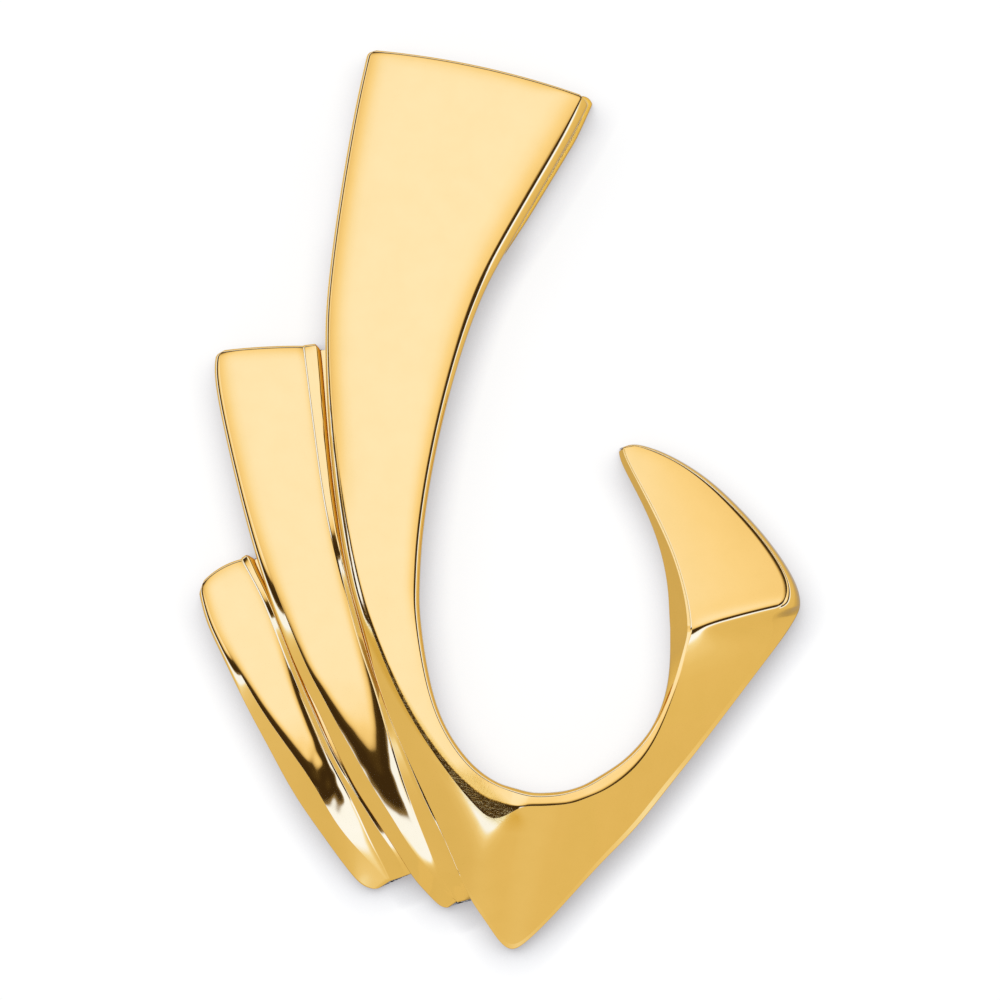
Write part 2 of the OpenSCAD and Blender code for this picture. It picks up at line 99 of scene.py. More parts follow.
# The face's edge along the gap is broken by a fine roll, this wide at these rows
BREAK_AT, BREAK_WIDTH = (0, 1, 2, 3, 4, 6, 9, 11), (0.02, 0.06, 0.09, 0.07, 0.04, 0.03, 0.02, 0)
BREAK_FALL = 0.15
# Step down from the thorn's face to the narrow strip beside it
STRIP_STEP, STRIP_STEP_WIDTH = 0.04, 0.07
# Fine bevel where the thorn's face meets its outer strip
FACE_EDGE, FACE_EDGE_FALL = 0.04, 0.24
# The rim about the gap leans a little inwards, by this height at these rows
CANT_AT, CANT = (14, 15.5, 24, 26), (0, 0.03, 0.03, 0)
# The thorn starts at this row, and its outer slope is arched by this height to a millimetre of width
THORN_ROW, THORN_SOONER, THORN_ARCH = 29.5, 0.7, 0.04
# The face's falls towards the gap and towards the crease: widest, and as a share of the face
GAP_CROWN, GAP_CROWN_SHARE = 2.4, 0.27
CREASE_CROWN, CREASE_CROWN_SHARE = 1.5, 0.40
# On a narrow face the fall towards the gap is gentler, down to a share of what it is on a broad one
NARROW_FACE, BROADER_BY, NARROW_CROWN = 0.8, 2, 0.15
# The margin takes no more of the face than this share, and its fall sets in over this width
MARGIN_MOST, ROLL_IN = 0.8, 0.1
# A bevel narrower than this is rounded over instead, by this much
NARROW_BEVEL, BEVEL_FADE, ROUNDED = 0.65, 0.25, 0.85
NO_RIM, RIM_LEAST = 0.02, 0.03
# The inner wall: where it leans little, its edge is turned over, and elsewhere it falls more steeply
LEANING_ROW, LEANING_FADE = 27, 3
UPRIGHT, UPRIGHT_FADE = 0.95, 0.6
WALL_FALL, LEANING_FALL, WALL_DROP, WALL_LOWEST = 1.3, 1.1, 0.1, 0.3
MM = 0.001
MAIN_STEPS, MAIN_POINTS = 11, 31
# Finish of every blade's edges: how far the top end's edge and its corners are rounded, and the polished
# faces' fall towards their edges, as a slope at the edge and the width over which it dies out.
END_ROUND, CORNER_ROUND = 0.08, 0.25
TIP_ROUND = 0.15
CROWN_FALL, CROWN_END = 0.16, 1.1
# How far from each corner of the section its rounding starts
GAP_CUT, CREASE_CUT, RIM_CUT, WALL_CUT = 0.03, 0.04, 0.05, 0.12
FINE = 32
# Distances from both ends at which sections stand, where the ends are rounded
END_SECTIONS = (0, 0.004, 0.015, 0.032, 0.055, 0.08, 0.12, 0.17, 0.22, 0.28, 0.38, 0.52, 0.7)


def numbers(row):
    return [n for part in row for n in (part if isinstance(part, tuple) else (part,))]


def faired(table, soften=0.45):
    """The rows as smooth curves, FINE samples to a row: a spline, then filed fair along the blade."""
    rows = np.array([numbers(r) for r in table], float)
    rows = np.vstack([2 * rows[0] - rows[1], rows, 2 * rows[-1] - rows[-2], 3 * rows[-1] - 2 * rows[-2]])
    t = np.arange(FINE)[:, None] / FINE
    spans = []
    for k in range(1, len(rows) - 2):
        a, b, c, d = rows[k - 1:k + 3]
        spans.append(0.5 * (2 * b + (c - a) * t + (2 * a - 5 * b + 4 * c - d) * t**2
                            + (3 * b - a - 3 * c + d) * t**3))
    line = np.vstack(spans)[:(len(table) - 1) * FINE + 1]
    reach = int(3 * soften * FINE)
    weights = np.exp(-0.5 * (np.arange(-reach, reach + 1) / (soften * FINE))**2)
    weights /= weights.sum()
    held = np.vstack([2 * line[0] - line[reach:0:-1], line, 2 * line[-1] - line[-2:-reach - 2:-1]])
    return np.stack([np.convolve(held[:, c], weights, "valid") for c in range(line.shape[1])], axis=1)


def picked(line, places):
    """The curves' values at places counted in rows."""
    grid = np.arange(len(line)) / FINE
    return np.stack([np.interp(places, grid, line[:, c]) for c in range(line.shape[1])], axis=1)


def stations(line, steps, a, b):
    """Places along a blade, closer together at its rounded ends, and their distances from both ends."""
    last = (len(line) - 1) // FINE
    mid = (line[:, a:a + 2] + line[:, b:b + 2]) / 2
    run = np.concatenate([[0], np.cumsum(np.linalg.norm(np.diff(mid, axis=0), axis=1))])
    grid = np.arange(len(line)) / FINE
    near = np.array(END_SECTIONS)
    first, final = np.interp(near, run, grid), np.interp(run[-1] - near[::-1], run, grid)
    inner = np.arange(1, last * steps) / steps
    inner = inner[(inner > first[-1] + 0.5 / steps) & (inner < final[0] - 0.5 / steps)]
    places = np.concatenate([first, inner, final])
    at = np.interp(places, grid, run)
    return places, at, run[-1] - at


def quarter(distance, radius):
    """How far a quarter round of this radius lies back, at a distance from its end."""
    d = np.clip(distance, 0, radius)
    return radius - np.sqrt(radius**2 - (radius - d)**2)


def crown(distance, width, fall=CROWN_FALL):
    """Height lost near an edge of a polished face, which falls there with this slope."""
    return 0.5 * fall * width * np.clip(1 - distance / width, 0, 1)**2


def eased(distance, width, ease, reach):
    """Height gained on a bevel that starts gentler, by a slope and over a reach, and meets its rim again."""
    return 0.5 * ease * reach * (1 - np.clip(1 - distance / reach, 0, 1)**2 - distance / width)


def length(v):
    return np.linalg.norm(v, axis=-1, keepdims=True)


# A corner's rounding takes at most this share of its shorter side, and its guarding points stand this near
CUT_MOST, GUARD_MOST = 0.46, 0.03


def softened(points, cuts, steps=5, hold=0.03):
    """Profile with its corners rounded. cuts: how far from each corner its rounding starts."""
    out = [points[:, :1]]
    for k in range(1, points.shape[1] - 1):
        corner = points[:, k]
        back, on = points[:, k - 1] - corner, points[:, k + 1] - corner
        back_l, on_l = length(back) + 1e-9, length(on) + 1e-9
        wanted = np.asarray(cuts[k], float).reshape(-1, 1)
        cut = np.minimum(np.broadcast_to(wanted, back_l.shape), CUT_MOST * np.minimum(back_l, on_l))
        keep = np.minimum(hold, GUARD_MOST * np.minimum(back_l, on_l))
        a, b = corner + back / back_l * cut, corner + on / on_l * cut
        out.append((corner + back / back_l * (cut + keep))[:, None])
        for t in np.linspace(0, 1, steps):
            out.append(((1 - t)**2 * a + 2 * t * (1 - t) * corner + t**2 * b)[:, None])
        out.append((corner + on / on_l * (cut + keep))[:, None])
    out.append(points[:, -1:])
    return np.concatenate(out, axis=1)


def bowed(points, outer, foot, bow):
    """Pushes a section towards the top end, most in its middle."""
    across = foot - outer
    width = length(across)
    side = np.stack([-across[:, 1], across[:, 0]], axis=1) / width
    t = np.clip(length(points[..., :2] - outer[:, None]) / width[:, None], 0, 1)
    moved = points.copy()
    moved[..., :2] += side[:, None] * bow[:, None, None] * 4 * t * (1 - t)
    return moved


# How full a rounded edge is, how many of its points a short one keeps, and where they stand
EDGE_POWER, EDGE_KEPT = 2.6, 9
ROUND_SHARES = (0.02, 0.06, 0.12, 0.18, 0.26, 0.36, 0.48, 0.6, 0.71, 0.81, 0.89, 0.95, 0.985)


def rounded_over(top, low, roundness):
    """Points down an edge: a straight bevel where roundness is 0, rounded over to the wall where it is 1."""
    height = (top - low)[:, 2]
    return [lowered(mix(top, low, g), roundness * height * (1 - (1 - g**EDGE_POWER)**(1 / EDGE_POWER) - g))
            for g in ROUND_SHARES]


def column(plan, z):
    heights = np.broadcast_to(np.asarray(z, float).reshape(-1, 1), (len(plan), 1))
    return np.concatenate([plan, heights], axis=1)


def lowered(points, drop):
    out = points.copy()
    out[:, 2] -= drop
    return out


def mix(a, b, t):
    return a + (b - a) * (t[:, None] if isinstance(t, np.ndarray) and a.ndim == 2 else t)


def even_shares(n):
    """Shares from 0 to 1, closer together at both ends."""
    return (1 - np.cos(np.linspace(0, pi, n))) / 2


gold, satin = bpy.data.materials.new("polished_gold"), bpy.data.materials.new("satin_gold")


def cast(name, mesh, finish):
    """Object whose faces all have one of the two finishes."""
    mesh.validate()
    for m in (gold, satin):
        mesh.materials.append(m)
    mesh.polygons.foreach_set("material_index", [int(finish is satin)] * len(mesh.polygons))
    return bpy.data.objects.new(name, mesh)


def closed(name, grid):
    """Solid mesh from sections that run from foot to foot of the walls, closed below and at its ends."""
    s, k, _ = grid.shape
    verts = [tuple(v) for v in grid.reshape(-1, 3)]
    faces = [(i * k + j, (i + 1) * k + j, (i + 1) * k + j + 1, i * k + j + 1)
             for i in range(s - 1) for j in range(k - 1)]
    feet = []
    for i in (0, s - 1):
        row = [i * k]
        for j in range(1, k - 2):
            row.append(len(verts))
            verts.append((grid[i, j, 0], grid[i, j, 1], 0.0))
        row += [i * k + k - 1]
        cap = [(i * k, i * k + 1, row[1])]
        cap += [(i * k + j, i * k + j + 1, row[j + 1], row[j]) for j in range(1, k - 3)]
        cap += [(i * k + k - 3, i * k + k - 2, i * k + k - 1, row[-2])]
        faces += [f if i == 0 else f[::-1] for f in cap]
        feet.append(row)
    faces.append(tuple(feet[0] + [2 * k - 1, k]))
    faces += [(i * k, i * k + k - 1, (i + 1) * k + k - 1, (i + 1) * k) for i in range(1, s - 2)]
    faces.append(tuple([(s - 2) * k, (s - 2) * k + k - 1] + feet[1][::-1]))
    mesh = bpy.data.meshes.new(name)
    mesh.from_pydata([tuple(c * MM for c in v) for v in verts], [], faces)
    return cast(name, mesh, gold)


def main_blade():
    line = faired(MAIN_ROWS)
    places, from_top, from_tip = stations(line, MAIN_STEPS, 0, 8)
    r = picked(line, places)
    outer, crease, foot = r[:, 0:3], r[:, 3:6], r[:, 8:10]
    inner = column(r[:, 6:8], r[:, 5] + np.interp(places, CANT_AT, CANT))
    bow, roll, fall = r[:, 10], np.maximum(r[:, 11], 0), r[:, 12]
    edge, lift = np.maximum(r[:, 13], NO_RIM), np.maximum(r[:, 14], 0)
    ease, reach = np.maximum(r[:, 15], 0), r[:, 16]
    inward = (foot - outer[:, :2]) / length(foot - outer[:, :2])
    inset = quarter(from_top, CORNER_ROUND) + quarter(from_tip, CORNER_ROUND)
    shift = column(inward * inset[:, None], 0)
    outer, crease, inner, foot = outer + shift, crease + shift, inner - shift, foot - shift[:, :2]
    dip = quarter(from_top, END_ROUND) + quarter(from_tip, TIP_ROUND)
    end_crown = crown(from_top, CROWN_END)
    face, bevel = length((crease - inner)[:, :2])[:, 0], length((crease - outer)[:, :2])[:, 0]
    inner_crown = np.minimum(GAP_CROWN, GAP_CROWN_SHARE * face)
    outer_crown = np.minimum(CREASE_CROWN, CREASE_CROWN_SHARE * face)
    narrow = CROWN_FALL * np.clip((face - NARROW_FACE) / BROADER_BY, NARROW_CROWN, 1)
    band = np.minimum(roll, MARGIN_MOST * face)
    thorn = np.clip(places - THORN_ROW + THORN_SOONER, 0, 1)
    broken = np.interp(places, BREAK_AT, BREAK_WIDTH)
    face_points = []
    for f in even_shares(MAIN_POINTS):
        d = (1 - f) * face
        t = np.clip(band - d, 0, None)
        rolled = fall * np.where(t < ROLL_IN, t**2 / (2 * ROLL_IN), t - ROLL_IN / 2)
        share = 1 - np.clip(band / (2 * ROLL_IN), 0, 1)
        side_crown = crown(f * face, inner_crown, narrow) + crown(d, outer_crown) * share
        side_crown += BREAK_FALL * np.clip(broken - f * face, 0, None)
        side_crown += STRIP_STEP * thorn * np.clip(d / STRIP_STEP_WIDTH, 0, 1)
        face_points.append(lowered(mix(inner, crease, f), np.hypot(side_crown, end_crown) + rolled + dip))
    start, top = face_points[0], face_points[-1]
    rim_plan = mix(outer, crease, edge / bevel)[:, :2]
    rim_top = column(rim_plan, np.where(edge > RIM_LEAST, outer[:, 2] + lift, outer[:, 2]) - dip)
    outer = lowered(outer, dip)
    width = length((top - rim_top)[:, :2])[:, 0]
    narrow_bevel = np.clip((NARROW_BEVEL - bevel) / BEVEL_FADE, 0, 1)
    slope = rounded_over(top, rim_top, ROUNDED * narrow_bevel * (1 - thorn))
    arch = THORN_ARCH * thorn
    slope = [lowered(q, crown((1 - g) * width, width, arch) - eased(g * width, width, ease, reach)
                     + FACE_EDGE_FALL * thorn * np.clip(FACE_EDGE - (1 - g) * width, 0, None))
             for q, g in zip(slope, ROUND_SHARES)]
    rim_top = lowered(rim_top, 0.5 * arch * width + FACE_EDGE_FALL * FACE_EDGE * thorn)
    wall_edge = rounded_over(rim_top, outer, thorn)[:EDGE_KEPT]
    lean = length(foot - inner[:, :2])[:, 0]
    turned = np.clip((UPRIGHT - lean) / UPRIGHT_FADE, 0, 1)
    turned *= np.clip((LEANING_ROW - places) / LEANING_FADE, 0, 1)
    wall_fall = WALL_FALL + LEANING_FALL * (1 - turned)
    low = column(foot, np.maximum(start[:, 2] - wall_fall * lean - WALL_DROP, WALL_LOWEST))
    turning = rounded_over(start, low, ROUNDED * turned)[::-1]
    wall = softened(np.stack([column(foot, 0), low, turning[0]], axis=1), [0, GAP_CUT, 0], steps=3)[:, :-1]
    wall = np.concatenate([wall] + [q[:, None] for q in turning], axis=1)
    brow = softened(np.stack([wall[:, -1], start, face_points[1]], axis=1), [0, GAP_CUT, 0])[:, 1:-1]
    head = softened(np.stack([face_points[-2], top, slope[0]], axis=1), [0, CREASE_CUT, 0])[:, 1:-1]
    rim = softened(np.stack([slope[-1], rim_top, wall_edge[0]], axis=1), [0, RIM_CUT, 0], steps=4)[:, 1:-1]
    tail = np.stack([wall_edge[-1], outer, column(outer[:, :2], 0)], axis=1)
    tail = softened(tail, [0, WALL_CUT, 0], steps=6)[:, 1:]
    parts = [wall, brow] + [p[:, None] for p in face_points[1:-1]] + [head] + [p[:, None] for p in slope]
    parts += [rim] + [p[:, None] for p in wall_edge] + [tail]
    return closed("main_blade", bowed(np.concatenate(parts, axis=1), outer[:, :2], foot, bow))


# Stepped blades
# Two lower blades beside the main one, cast in one with it. Each has a level face, a narrow bevel on its
# outer side and a filed fillet with a low lip along the groove to its neighbour, and rolls down to a point.
# Columns: outer, crease, edge of the face towards the next blade, groove, all with heights, bow, width and
# fall of the roll beside the crease, width and rise of the sweep up to the fillet.
SECOND_ROWS = [
    [(-14.10, 7.35, 4.38), (-13.90, 7.45, 4.62), (-9.80, 7.65, 4.62), (-8.95, 7.75, 4.66),
     0.10, 1.3, 0.15, 0.5, 0.12],
    [(-14.25, 6.10, 4.38), (-13.98, 6.10, 4.62), (-9.65, 6.50, 4.62), (-8.80, 6.60, 4.66),
     0.05, 1.3, 0.15, 0.5, 0.12],
    [(-13.50, 2.50, 4.33), (-13.25, 2.55, 4.57), (-9.22, 3.10, 4.57), (-8.55, 3.20, 4.62),
     0, 1.3, 0.15, 0.5, 0.12],
    [(-12.50, -1.60, 4.26), (-12.23, -1.50, 4.50), (-8.70, -0.65, 4.50), (-8.15, -0.50, 4.58),
     0, 1.2, 0.15, 0.5, 0.12],
    [(-11.35, -5.25, 4.17), (-10.95, -5.05, 4.42), (-7.92, -3.85, 4.42), (-7.55, -3.75, 4.58),
     0, 0.8, 0.18, 0.6, 0.15],
    [(-10.00, -8.70, 3.96), (-9.65, -8.30, 4.35), (-7.03, -7.20, 4.35), (-6.70, -7.00, 4.62),
     0, 0.5, 0.24, 0.5, 0.17],
    [(-9.30, -9.95, 3.80), (-8.95, -9.55, 4.27), (-6.51, -8.63, 4.27), (-6.35, -8.30, 4.55),
     0, 0.6, 0.29, 0.6, 0.22],
    [(-8.60, -11.45, 3.60), (-8.15, -11.10, 4.14), (-6.02, -10.20, 4.14), (-5.75, -10.15, 4.45),
     0, 0.8, 0.30, 0.75, 0.27],
    [(-7.85, -13.15, 3.15), (-7.40, -12.40, 3.91), (-5.50, -12.05, 3.91), (-4.95, -11.95, 4.27),
     0, 0.9, 0.26, 0.95, 0.34],
    [(-7.10, -14.55, 2.80), (-6.60, -13.85, 3.58), (-5.03, -13.60, 3.58), (-4.35, -13.40, 4.02),
     0, 0.7, 0.20, 0.7, 0.33],
    [(-6.30, -15.75, 2.45), (-5.80, -15.15, 3.20), (-4.55, -14.95, 3.20), (-3.75, -14.85, 3.66),
     0, 0.55, 0.13, 0.45, 0.27],
    [(-5.50, -17.00, 2.00), (-5.20, -16.10, 2.85), (-4.15, -16.00, 2.85), (-3.15, -16.10, 3.30),
     0, 0.4, 0.05, 0.25, 0.14],
    [(-4.90, -17.90, 1.62), (-4.70, -16.95, 2.48), (-3.75, -17.00, 2.48), (-2.60, -17.20, 2.86),
     0, 0.3, 0.05, 0.12, 0.05],
    [(-4.30, -18.90, 1.15), (-4.10, -17.80, 2.14), (-3.38, -17.95, 2.14), (-2.05, -18.35, 2.38),
     0, 0.2, 0.05, 0.1, 0.05],
    [(-3.75, -19.50, 0.80), (-3.50, -18.55, 1.84), (-3.10, -18.65, 1.84), (-1.70, -19.40, 1.60),
     0, 0.1, 0.05, 0.1, 0.05],
    [(-3.15, -20.15, 0.60), (-2.75, -19.50, 1.22), (-2.50, -19.55, 1.22), (-1.50, -19.85, 1.05),
     0, 0.1, 0.05, 0.1, 0.05],
    [(-2.75, -20.40, 0.50), (-2.25, -20.05, 0.75), (-2.10, -20.10, 0.75), (-1.50, -19.95, 0.75),
     0, 0.1, 0.05, 0.1, 0.05],
]
THIRD_ROWS = [
    [(-15.00, -4.50, 3.31), (-14.80, -4.20, 3.55), (-12.80, -3.10, 3.55), (-12.35, -2.75, 3.60),
     0.3, 0.9, 0.15, 0.5, 0.12],
    [(-14.65, -6.05, 3.30), (-14.38, -5.90, 3.54), (-11.95, -4.65, 3.54), (-11.55, -4.45, 3.62),
     0.2, 0.9, 0.15, 0.5, 0.12],
    [(-13.90, -7.60, 3.26), (-13.63, -7.40, 3.52), (-11.40, -6.00, 3.52), (-11.05, -5.80, 3.66),
     0.1, 0.7, 0.16, 0.5, 0.12],
    [(-13.15, -9.20, 3.22), (-12.75, -8.95, 3.48), (-10.70, -7.85, 3.48), (-10.40, -7.65, 3.70),
     0.05, 0.5, 0.24, 0.5, 0.18],
    [(-12.30, -10.90, 2.97), (-11.95, -10.35, 3.42), (-10.10, -9.40, 3.42), (-9.75, -9.20, 3.68),
     0, 0.5, 0.30, 0.5, 0.28],
    [(-11.50, -12.35, 2.75), (-10.95, -11.80, 3.32), (-9.45, -10.95, 3.32), (-9.05, -10.70, 3.62),
     0, 0.6, 0.30, 0.5, 0.34],
    [(-10.70, -13.90, 2.36), (-10.15, -12.90, 3.16), (-8.85, -12.30, 3.16), (-8.50, -12.10, 3.42),
     0, 0.6, 0.28, 0.5, 0.34],
    [(-9.85, -15.30, 1.90), (-9.35, -14.05, 2.92), (-8.25, -13.50, 2.92), (-7.85, -13.30, 3.18),
     0, 0.5, 0.22, 0.45, 0.32],
    [(-9.00, -16.50, 1.45), (-8.75, -15.10, 2.60), (-7.65, -14.60, 2.60), (-7.30, -14.40, 2.85),
     0, 0.4, 0.13, 0.4, 0.30],
    [(-8.15, -17.70, 1.10), (-8.10, -16.20, 2.13), (-7.05, -15.80, 2.13), (-6.60, -15.50, 2.50),
     0, 0.3, 0.05, 0.3, 0.26],
    [(-7.35, -18.75, 0.75), (-7.25, -17.25, 1.62), (-6.55, -16.95, 1.62), (-5.90, -16.65, 2.10),
     0, 0.3, 0.05, 0.3, 0.26],
    [(-6.80, -19.30, 0.55), (-6.35, -18.20, 1.05), (-5.95, -18.05, 1.05), (-5.05, -17.85, 1.50),
     0, 0.1, 0.05, 0.2, 0.30],
    [(-6.20, -19.45, 0.40), (-5.65, -19.10, 0.50), (-5.50, -19.05, 0.50), (-4.65, -18.75, 0.80),
     0, 0.1, 0.05, 0.1, 0.05],
]
STEP_STEPS, STEP_POINTS = 12, 27
# How far each blade runs on under its neighbour
REACH = 0.4
STEP_TIP_ROUND = 0.2
ROLL_MOST, SWEEP_MOST, NARROWEST = 0.6, 0.5, 0.02
NARROW_EDGE, EDGE_FADE = 0.5, 0.15
# Groove along the neighbour, and the filed shoulder above it, both gone by this row
GROOVE_DIP, GROOVE_WIDTH = 0.06, 0.04
SHOULDER, SHOULDER_LEAST, SHOULDER_FALL, NARROW_LIP = 0.17, 0.01, 0.08, 0.25
SHOULDER_LAST, SHOULDER_FADE = 9, 4
# Ledge between face and lip, which runs out at this row
LIP_LEDGE, LIP_STEP, LIP_LAST, LIP_FADE = 0.07, 0.03, 5, 2
LIP_CUTS = [0, 0.01, 0.01, 0.03, 0.06, 0.02, 0.02, 0]
# At the top end the lip flicks up and its outer end is cut back, as shares of its width
FLICK, FLICK_FROM, FLICK_OVER = 0.12, 0.05, 0.8
NOTCH, NOTCH_FROM, NOTCH_OVER = 0.28, 0.7, 0.3
FLICK_DEPTH = 0.25
# Buffing left waves in the dark ends: turns to a millimetre in X and Y, strength and phase of each train,
# the rows that they spread over, and each blade's height of the waves and the row at their middle
WAVE_TRAINS = [(1.3, -0.25, 1.0, 0.0), (0.5, 0.9, 0.6, 1.0)]
WAVES_SPREAD = 1.2
SECOND_WAVES, THIRD_WAVES = (0.003, 8.8), (0.008, 7.2)


def step_blade(name, table, waves, wavy_row):
    line = faired(table)
    places, from_top, from_tip = stations(line, STEP_STEPS, 0, 9)
    r = picked(line, places)
    outer, crease, inner, groove, bow = r[:, 0:3], r[:, 3:6], r[:, 6:9], r[:, 9:12], r[:, 12]
    roll, sweep = (np.maximum(r[:, c], NARROWEST) for c in (13, 15))
    fall, climb = r[:, 14], r[:, 16]
    along = (groove - inner)[:, :2] / length((groove - inner)[:, :2])
    inset = quarter(from_top, CORNER_ROUND) + quarter(from_tip, STEP_TIP_ROUND)
    shift = column(along * inset[:, None], 0)
    outer, crease = outer + shift, crease + shift
    reach = groove[:, :2] + REACH * along
    dip = quarter(from_top, END_ROUND) + quarter(from_tip, END_ROUND)
    end_crown = crown(from_top, CROWN_END)
    face = length((crease - inner)[:, :2])[:, 0]
    roll, sweep = np.minimum(roll, ROLL_MOST * face), np.minimum(sweep, SWEEP_MOST * face)
    face_points = []
    for f in even_shares(STEP_POINTS):
        lift = 0.5 * climb * sweep * np.clip(1 - f * face / sweep, 0, 1)**2
        side_crown = crown((1 - f) * face, roll, fall)
        p = mix(inner, crease, f)
        wavy = sum(strength * np.sin(2 * pi * (in_x * p[:, 0] + in_y * p[:, 1]) + phase)
                   for in_x, in_y, strength, phase in WAVE_TRAINS)
        uneven = waves * np.exp(-((places - wavy_row) / WAVES_SPREAD)**2) * wavy * sin(pi * f)
        face_points.append(lowered(p, np.hypot(side_crown, end_crown) - lift + uneven))
    start, top = face_points[0], face_points[-1]
    wide = length((groove - inner)[:, :2])[:, 0]
    shoulder = SHOULDER * np.clip((wide - NARROW_LIP) / NARROW_LIP, 0, 1) + SHOULDER_LEAST
    fading = np.clip((SHOULDER_LAST - places) / SHOULDER_FADE, 0, 1)
    climbing = (groove - inner)[:, 2] * shoulder / wide
    crest = column(groove[:, :2] - shoulder[:, None] * along, groove[:, 2] - (1 - fading) * climbing)
    low = column(groove[:, :2], groove[:, 2] - SHOULDER_FALL * fading * shoulder / SHOULDER)
    step = np.clip((LIP_LAST - places) / LIP_FADE, 0, 1)
    ledge = start + column(LIP_LEDGE * along, LIP_STEP * step)
    sunk = GROOVE_DIP * fading
    lip = [column(reach, 0), lowered(column(reach, low[:, 2]), sunk), lowered(low, sunk),
           low - column(GROOVE_WIDTH * along, 0), crest, ledge, start, face_points[1]]
    lip = softened(np.stack(lip, axis=1), LIP_CUTS, steps=4, hold=0.01)[:, :-1]
    edge = length((crease - outer)[:, :2])[:, 0]
    narrow_edge = np.clip((NARROW_EDGE - edge) / EDGE_FADE, 0, 1)
    slope = rounded_over(top, outer, ROUNDED * narrow_edge)[:EDGE_KEPT + 2]
    head = softened(np.stack([face_points[-2], top, slope[0]], axis=1), [0, CREASE_CUT, 0])[:, 1:-1]
    tail = softened(np.stack([slope[-1], outer, column(outer[:, :2], 0)], axis=1), [0, WALL_CUT, 0])[:, 1:]
    parts = [lip] + [p[:, None] for p in face_points[1:-1]] + [head] + [p[:, None] for p in slope] + [tail]
    profile = np.concatenate(parts, axis=1)
    profile[:, 1:-1, 2] -= dip[:, None]
    up = np.stack([-along[:, 1], along[:, 0]], axis=1)
    a = np.clip(((profile[..., :2] - inner[:, None, :2]) * along[:, None]).sum(-1) / wide[:, None], 0, 1)
    flick = FLICK * np.sin(pi * np.clip((a - FLICK_FROM) / FLICK_OVER, 0, 1))
    flick -= NOTCH * np.clip((a - NOTCH_FROM) / NOTCH_OVER, 0, 1)**2
    fade = np.exp(-from_top / FLICK_DEPTH)[:, None]
    profile = bowed(profile, outer[:, :2], groove[:, :2], bow)
    profile[..., :2] += up[:, None] * (flick * fade)[..., None]
    return closed(name, profile)


# Hollow back with its strap
# The casting is open and hollow at the back, to save gold. A flat strap is soldered across the main blade's
# back and leaves a passage from side to side, through which the pendant slides on its necklace.
SIDE_WALL, FRONT_WALL = 0.9, 1.1
# The wall on the gap's side is this share of the outer one, and a hollow runs this far past its groove
GAP_WALL, HOLLOW_REACH = 0.75, 1.3
# Each hollow's last row, how closely its sections stand, its lowest roof, and how far it is cut past the back
MAIN_HOLLOW_END, SECOND_HOLLOW_END, THIRD_HOLLOW_END = 14, 13, 9
HOLLOW_STEPS, ROOF_POINTS, ROOF_LEAST, PAST = 5, 9, 0.2, 1.0
STRAP_T, STRAP_LOW, STRAP_TOP, STRAP_INSET = 0.7, 12.3, 20.2, 0.15
STRAP_PROUD_AT, STRAP_PROUD = (12.3, 14.0, 18.0, 20.0), (0.02, 0.16, 0.30, 0.16)
# The strap's filed edge: how far each layer is below the strap's front, and how far it is set back
STRAP_EDGE = [(STRAP_T, 0.0), (0.3, 0.0), (0.18, 0.03), (0.08, 0.09), (0, 0.19)]
# Its upper corner's radius, and the angles between which the corner's points stand
STRAP_CORNER, CORNER_FROM, CORNER_TO = 0.5, 0.2, 1.57
STRAP_SECTIONS, CORNER_SECTIONS, STRAP_LAST_ROW, STRAP_SAMPLES = 24, 8, 4, 60
# The passage: the land above and below it, what is left free at the strap's top, its roof and its mouths
SOLDER_LAND, TOP_LAND, PASSAGE_TOP = 0.95, 0.2, 4.8
MOUTH_LEFT, MOUTH_RIGHT = -15, 7


def walked(chain, share_from, share_to, count):
    """Points at even distances, measured in plan, along each section's chain."""
    steps = np.linalg.norm(np.diff(chain[..., :2], axis=1), axis=2)
    run = np.concatenate([np.zeros((len(chain), 1)), np.cumsum(steps, axis=1)], axis=1)
    total = run[:, -1]
    out = np.zeros((len(chain), count, 3))
    for i in range(len(chain)):
        s = np.linspace(share_from(total[i]), share_to(total[i]), count)
        for c in range(3):
            out[i, :, c] = np.interp(s, run[i], chain[i, :, c])
    return out


def hollow(name, chain, near, far):
    roof = walked(chain, near, far, ROOF_POINTS)
    roof[..., 2] = np.maximum(roof[..., 2] - FRONT_WALL, ROOF_LEAST)
    below = roof[:, [-1, 0]].copy()
    below[..., 2] = -PAST
    loop = np.concatenate([below[:, :1], roof[:, ::-1], below[:, 1:]], axis=1)
    s, k, _ = loop.shape
    faces = [(i * k + j, i * k + (j + 1) % k, (i + 1) * k + (j + 1) % k, (i + 1) * k + j)
             for i in range(s - 1) for j in range(k)]
    faces += [tuple(range(k))[::-1], tuple((s - 1) * k + j for j in range(k))]
    mesh = bpy.data.meshes.new(name)
    mesh.from_pydata([tuple(c * MM for c in v) for v in loop.reshape(-1, 3)], [], faces)
    return cast(name, mesh, satin)


def inside(table, last):
    """Rows of a blade more than a wall's thickness below its top end, measured along its face's edge."""
    line = faired(table)
    run = np.concatenate([[0], np.cumsum(np.linalg.norm(np.diff(line[:, 6:8], axis=0), axis=1))])
    first = np.interp(SIDE_WALL, run, np.arange(len(line)) / FINE)
    return picked(line, np.linspace(first, last, int((last - first) * HOLLOW_STEPS)))


def main_hollow():
    r = inside(MAIN_ROWS, MAIN_HOLLOW_END)
    crease = r[:, 3:6].copy()
    crease[:, 2] -= np.maximum(r[:, 11], 0) * r[:, 12]
    chain = np.stack([r[:, 0:3], crease, column(r[:, 6:8], r[:, 5])], axis=1)
    return hollow("main_hollow", chain, lambda n: SIDE_WALL, lambda n: n - GAP_WALL * SIDE_WALL)


